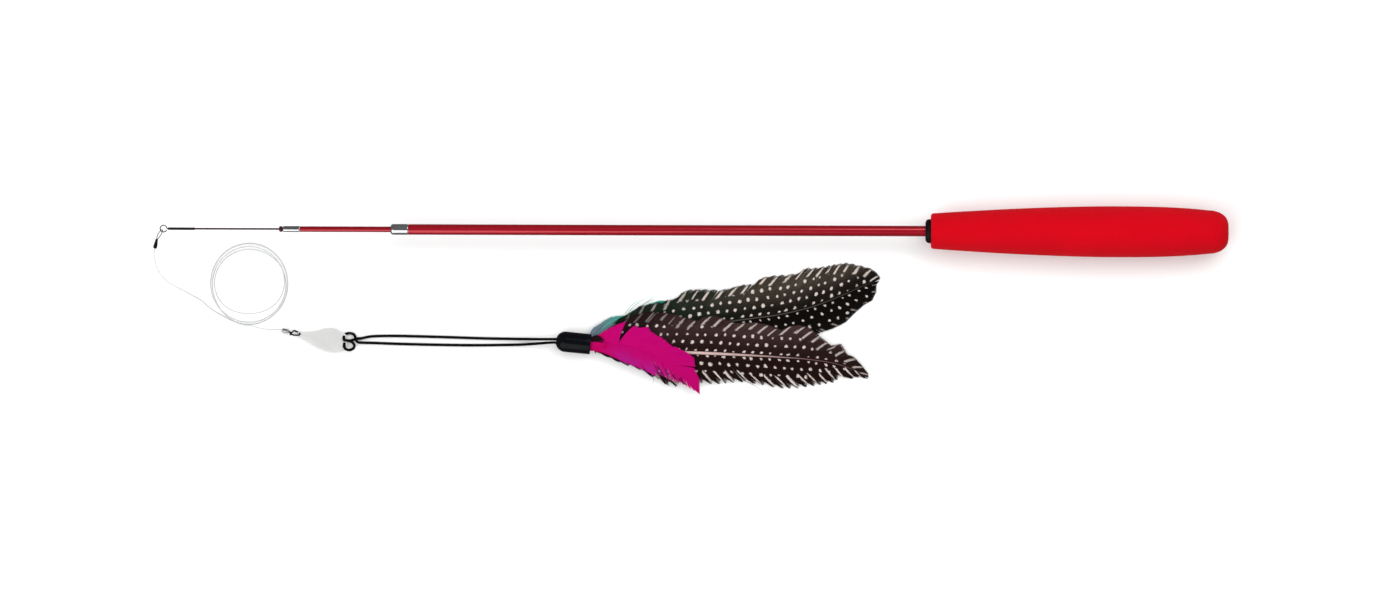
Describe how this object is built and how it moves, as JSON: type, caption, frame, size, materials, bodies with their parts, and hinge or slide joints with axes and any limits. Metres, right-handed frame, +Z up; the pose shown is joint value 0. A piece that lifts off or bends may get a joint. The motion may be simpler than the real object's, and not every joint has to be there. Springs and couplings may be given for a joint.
{
  "type": "telescopic cat teaser wand",
  "caption": "Telescopic cat teaser wand: foam grip, sliding metal sections, clear line with swivels and snaps, and a feather lure on black elastic.",
  "frame": {"origin": "under the middle of the solids' box, on the floor that the wand lies on", "axes": "the wand lies along X with its grip at +X and its tip at -X, +Z up, and its lure lies beside it towards -Y"},
  "size_m": [0.5912, 0.106, 0.028],
  "materials": {
    "red_foam": "matte closed-cell foam",
    "black_plastic": "satin",
    "red_anodised": "glossy red anodised",
    "silver_metal": "polished",
    "plated_brass": "bright plated",
    "bush_plastic": "plain moulded",
    "dark_red_rod": "glossy dark red",
    "dark_wire": "dark plated wire",
    "black_metal": "black plated",
    "clear_line": "clear nylon",
    "white_tab": "milky translucent sheet",
    "black_elastic": "braided elastic",
    "black_gloss": "shiny moulded",
    "teal_vane": "dyed feather",
    "dark_guinea_vane": "spotted feather",
    "brown_guinea_vane": "spotted feather",
    "magenta_vane": "dyed feather"
  },
  "bodies": {
    "handle": {"foam_grip": "red_foam", "front_collar": "black_plastic", "outer_tube": "red_anodised", "outer_ferrule": "silver_metal", "outer_tube_end_plug": "black_plastic"},
    "middle_section": {"middle_tube": "red_anodised", "middle_ferrule": "silver_metal", "middle_nose_bush": "black_plastic", "middle_friction_bush": "bush_plastic"},
    "tip_section": {"tip_rod": "dark_red_rod", "tip_sleeve": "black_plastic", "tip_ring": "dark_wire", "rod_friction_bush": "bush_plastic"},
    "line_hitch": {"top_snap": "dark_wire", "line_lead": "clear_line", "line_coil": "clear_line", "line_tail": "clear_line", "lure_snap": "black_metal"},
    "top_barrel": {"top_swivel_barrel": "black_metal"},
    "lure_barrel": {"lure_swivel_barrel": "plated_brass"},
    "lure": {"lure_tab": "white_tab", "elastic_knot": "black_elastic", "elastic_upper_strand": "black_elastic", "elastic_lower_strand": "black_elastic", "lure_cap": "black_gloss", "elastic_stopper": "bush_plastic", "quill_plug": "bush_plastic", "teal_feather": "teal_vane", "upper_guinea_feather": "dark_guinea_vane", "lower_guinea_feather": "brown_guinea_vane", "magenta_feather": "magenta_vane"}
  },
  "joints": [
    {"name": "middle_slide", "type": "slide", "parent": "handle", "child": "middle_section", "axis": [-1, 0, 0], "range_m": [-0.0495, 0.3]},
    {"name": "tip_slide", "type": "slide", "parent": "middle_section", "child": "tip_section", "axis": [-1, 0, 0], "range_m": [-0.0458, 0.28]},
    {"name": "line_hinge", "type": "hinge", "parent": "tip_section", "child": "line_hitch", "pos_m": [-0.28983, 0.03895, 0.01401], "axis": [0, 0, 1], "range_deg": [-80, 0]},
    {"name": "top_barrel_spin", "type": "hinge", "parent": "line_hitch", "child": "top_barrel", "pos_m": [-0.29464, 0.02834, 0.01032], "axis": [-0.2039, -0.8831, -0.4226], "continuous": true},
    {"name": "lure_barrel_spin", "type": "hinge", "parent": "line_hitch", "child": "lure_barrel", "pos_m": [-0.22468, -0.01665, 0.00185], "axis": [0.9744, -0.225, 0], "continuous": true},
    {"name": "lure_hinge", "type": "hinge", "parent": "line_hitch", "child": "lure", "pos_m": [-0.21504, -0.01887, 0.00185], "axis": [0, 0, 1], "range_deg": [-60, 0]}
  ]
}
